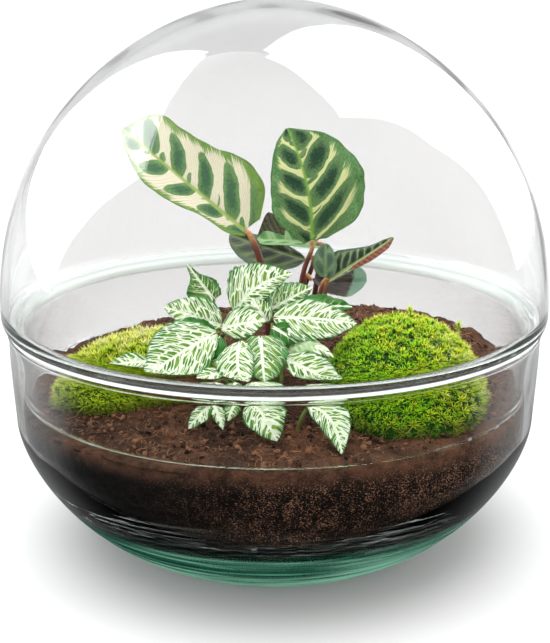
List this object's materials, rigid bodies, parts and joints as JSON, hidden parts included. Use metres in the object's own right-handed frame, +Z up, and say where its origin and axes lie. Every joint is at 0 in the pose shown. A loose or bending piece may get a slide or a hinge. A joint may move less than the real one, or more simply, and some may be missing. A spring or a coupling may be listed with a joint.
{
  "type": "glass plant terrarium",
  "caption": "Closed round glass terrarium: a domed lid over a rounded bowl of soil planted with a peacock plant, a nerve plant and cushion moss.",
  "frame": {"origin": "middle of the bowl's flat foot, on the surface it stands on", "axes": "+Z up along the vessel's axis; -Y towards the viewer of the picture; +X to the viewer's right"},
  "size_m": [0.25, 0.25, 0.2557],
  "materials": {
    "glass": "clear blown glass, faint green where thick",
    "soil": "loose dark brown fibrous peat",
    "moss": "dense bright green tufted moss",
    "nerve_plant": "green leaves with a net of white veins",
    "peacock_leaf": "satin leaf, cream stripes between dark green blotches",
    "peacock_stalk": "smooth reddish brown stalk"
  },
  "bodies": {
    "root": {"glass_bowl": "glass", "glass_dome": "glass", "soil": "soil", "moss_cushion_right": "moss", "moss_cushion_left": "moss", "fittonia_stem_left": "nerve_plant", "fittonia_stem_back_left": "nerve_plant", "fittonia_stem_top": "nerve_plant", "fittonia_stem_right": "nerve_plant", "fittonia_stem_middle": "nerve_plant", "fittonia_stem_low_right": "nerve_plant", "fittonia_stem_low_left": "nerve_plant", "fittonia_stem_front": "nerve_plant", "fittonia_stem_far_left": "nerve_plant", "fittonia_stem_front_right": "nerve_plant", "calathea_leaf_left": "peacock_leaf", "calathea_stalk_left": "peacock_stalk", "calathea_leaf_right": "peacock_leaf", "calathea_stalk_right": "peacock_stalk", "calathea_leaf_behind": "peacock_leaf", "calathea_stalk_behind": "peacock_stalk", "calathea_leaf_upper_behind": "peacock_leaf", "calathea_stalk_upper_behind": "peacock_stalk", "calathea_leaf_low_right": "peacock_leaf", "calathea_stalk_low_right": "peacock_stalk", "calathea_leaf_rolled": "peacock_leaf", "calathea_stalk_rolled": "peacock_stalk", "calathea_leaf_cupped": "peacock_leaf", "calathea_stalk_cupped": "peacock_stalk"}
  },
  "joints": []
}
